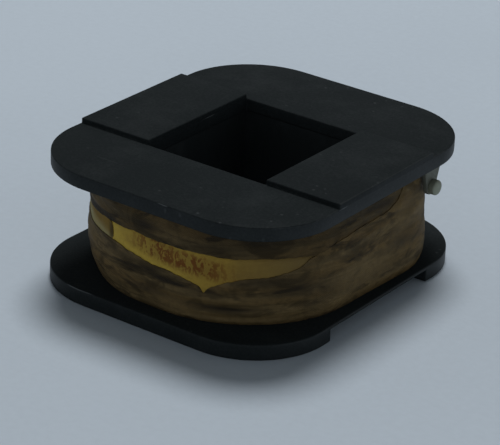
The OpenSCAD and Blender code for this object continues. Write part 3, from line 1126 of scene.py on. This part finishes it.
class COIL_OT_terminals(Operator):
    """Builds the three terminals: a tapered post under the top flange and a round-ended pin."""
    bl_idname = "coil.terminals"
    bl_label = "Terminals"

    def execute(self, context):
        settings = context.scene.coil_terminals
        # The posts get a darker tin and darker low spots than the pins: varnish, and painted shade.
        post_metal_varnish_and_shade = metal_finish("post_tin_varnish_and_shade", settings.post, (0.050, 0.040, 0.025), 0.46)
        pin_metal = metal_finish("pin_tin", settings.tin, (0.14, 0.13, 0.09), 0.42)
        ways = {"breaker": Vector((1, 0, 0)), "ground": Vector((-1, 0, 0)), "tension": Vector((0, 1, 0))}
        for name, outwards in ways.items():
            self.add_post(name, outwards, post_metal_varnish_and_shade)
            self.add_pin(name, outwards, pin_metal)
        return {"FINISHED"}

    def add_post(self, name, outwards, material):
        """A tab that narrows from the flange to a rounded foot."""
        low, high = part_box(name + "_post")
        across = Vector((-outwards.y, outwards.x, 0))
        post = add_block(name + "_terminal_post", low, high)
        centre = (low + high) / 2
        foot = 1.6 * MM
        narrowing = 0.46
        pick("FACE", lambda face: face.normal.z < -0.5)
        bpy.ops.transform.translate(value=(0, 0, foot))
        squeeze = Vector((1, 1, 1)) - Vector((abs(across.x), abs(across.y), 0)) * narrowing
        bpy.ops.transform.resize(value=squeeze, center_override=Vector((centre.x, centre.y, low.z + foot)))
        extrude(0, 0, -foot)
        pick("EDGE", lambda edge: near(middle(edge).z, low.z)
             and abs((edge.verts[0].co - edge.verts[1].co).dot(outwards)) > 0.5 * MM)
        foot_radius = 1.36 * MM
        bpy.ops.mesh.bevel(offset=foot_radius, segments=8, affect="EDGES")
        finish_mesh(post, 0.28 * MM, 4)
        hand_over(post, material, "terminal_post", name + "_post")

    def add_pin(self, name, outwards, material):
        """A round pin: a shank in the post, a free end with a soft dome of solder."""
        low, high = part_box(name + "_pin")
        post_low, post_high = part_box(name + "_post")
        dome = 0.5 * MM
        tip = max(high.dot(outwards), low.dot(outwards)) + dome
        front = max(post_high.dot(outwards), post_low.dot(outwards))
        rear = min(high.dot(outwards), low.dot(outwards))
        centre = (low + high) / 2
        axis = centre - outwards * centre.dot(outwards)
        radius = (high.z - low.z) / 2
        pin = add_shape(
            name + "_terminal_pin", "cylinder",
            vertices=40, radius=radius, depth=tip - front, location=(0, 0, 0),
        )
        bpy.ops.object.mode_set(mode="EDIT")
        pick("FACE", lambda face: face.normal.z > 0.9)
        for ring in (0.12, 0.3, 0.3):
            bpy.ops.mesh.inset(thickness=radius * ring)
        rise = 0.16 * MM
        pick("VERT", lambda vertex: vertex.co.z > 0 and vertex.co.xy.length > radius * 0.99)
        bpy.ops.transform.translate(value=(0, 0, -2.4 * rise))
        pick("VERT", lambda vertex: vertex.co.z > 0 and radius * 0.8 < vertex.co.xy.length < radius * 0.99)
        bpy.ops.transform.translate(value=(0, 0, -rise))
        pick("FACE", lambda face: face.normal.z < -0.9)
        bpy.ops.mesh.inset(thickness=radius * 0.43)
        extrude(0, 0, rear - front)
        bpy.ops.object.mode_set(mode="OBJECT")
        turn = outwards.to_track_quat("Z", "Y").to_matrix().to_4x4()
        middle_out = (tip + front) / 2
        pin.data.transform(Matrix.Translation(axis + outwards * middle_out) @ turn)
        finish_mesh(pin, 0.12 * MM, 3, 25)
        hand_over(pin, material, "tinned_pin", name + "_pin")


class COIL_OT_stage(Operator):
    """Lays the pale floor, hangs the soft light and sets the camera."""
    bl_idname = "coil.stage"
    bl_label = "Stage"

    def execute(self, context):
        settings = context.scene.coil_stage
        self.add_floor(settings)
        self.add_sky()
        self.add_light(settings.light_size)
        self.add_camera(context, settings)
        return {"FINISHED"}

    def add_floor(self, settings):
        floor = add_shape("pale_floor", "plane", size=6, location=(0, 0, 0))
        edit_all()
        bpy.ops.transform.translate(value=(0, 0, BOTTOM_LOW.z - 0.02 * MM))
        bpy.ops.object.mode_set(mode="OBJECT")
        floor.data.materials.append(floor_finish(settings.floor))

    def add_sky(self):
        world = bpy.data.worlds.new("soft_room")
        world.use_nodes = True
        tree = world.node_tree
        sky = tree.nodes["Background"]
        coordinates = tree.nodes.new("ShaderNodeTexCoord")
        parts = tree.nodes.new("ShaderNodeSeparateXYZ")
        tree.links.new(coordinates.outputs["Generated"], parts.inputs[0])
        rise = Value(tree, parts.outputs["Z"]).above(0.0, 1.0)
        feed(tree, sky.inputs["Strength"], 0.45 - rise * 0.40)
        sky.inputs["Color"].default_value = (0.88, 0.95, 1.0, 1)
        bpy.context.scene.world = world

    def add_light(self, size):
        place = Vector((-0.27, 0.46, 1.20))
        aim = Vector((0, 0, 0.012))
        data = bpy.data.lights.new("ceiling", "AREA")
        data.shape = "DISK"
        data.size = size
        data.energy = 9.9
        data.color = (0.98, 0.99, 1.0)
        light = bpy.data.objects.new("ceiling", data)
        light.location = place
        light.rotation_mode = "QUATERNION"
        light.rotation_quaternion = (aim - place).to_track_quat("-Z", "Y")
        bpy.context.collection.objects.link(light)

    def add_camera(self, context, settings):
        azimuth, elevation, roll = (math.radians(a) for a in (35.24, 25.04, 2.59))
        back = Vector((
            math.sin(azimuth) * math.cos(elevation),
            -math.cos(azimuth) * math.cos(elevation),
            math.sin(elevation),
        ))
        aim = Vector((-0.0107, 0.01446, 0))
        right = (-back).cross(Vector((0, 0, 1))).normalized()
        up = right.cross(-back)
        across = right * math.cos(roll) + up * math.sin(roll)
        upright = up * math.cos(roll) - right * math.sin(roll)
        data = bpy.data.cameras.new("camera")
        data.sensor_width = 36
        data.lens = 174.1
        data.clip_start = 0.01
        data.clip_end = 20
        camera = bpy.data.objects.new("camera", data)
        turn = Matrix((across, upright, back)).transposed().to_4x4()
        camera.matrix_world = Matrix.Translation(aim + back * settings.camera_distance) @ turn
        context.collection.objects.link(camera)
        context.scene.camera = camera
        context.scene.view_settings.view_transform = "Standard"


class COIL_PT_panel(Panel):
    """Lists the coil's operators and settings."""
    bl_idname = "COIL_PT_panel"
    bl_label = "Ignition coil"
    bl_space_type = "VIEW_3D"
    bl_region_type = "UI"
    bl_category = "Coil"

    def draw(self, context):
        for operator in OPERATORS:
            self.layout.operator(operator.bl_idname)
        for name, group in SETTINGS.items():
            box = self.layout.box()
            for key in group.__annotations__:
                box.prop(getattr(context.scene, name), key)


OPERATORS = (
    COIL_OT_stage,
    COIL_OT_top_flange,
    COIL_OT_bottom_flange,
    COIL_OT_inner_parts,
    COIL_OT_under_layers,
    COIL_OT_label_band,
    COIL_OT_tapes,
    COIL_OT_terminals,
)
CLASSES = (*SETTINGS.values(), *OPERATORS, COIL_PT_panel)


def register():
    for cls in CLASSES:
        bpy.utils.register_class(cls)
    for name, group in SETTINGS.items():
        setattr(bpy.types.Scene, name, PointerProperty(type=group))


def unregister():
    for name in SETTINGS:
        delattr(bpy.types.Scene, name)
    for cls in reversed(CLASSES):
        bpy.utils.unregister_class(cls)


def main():
    """Builds everything in order."""
    register()
    for operator in OPERATORS:
        group, name = operator.bl_idname.split(".")
        getattr(getattr(bpy.ops, group), name)()


if __name__ == "__main__":
    main()
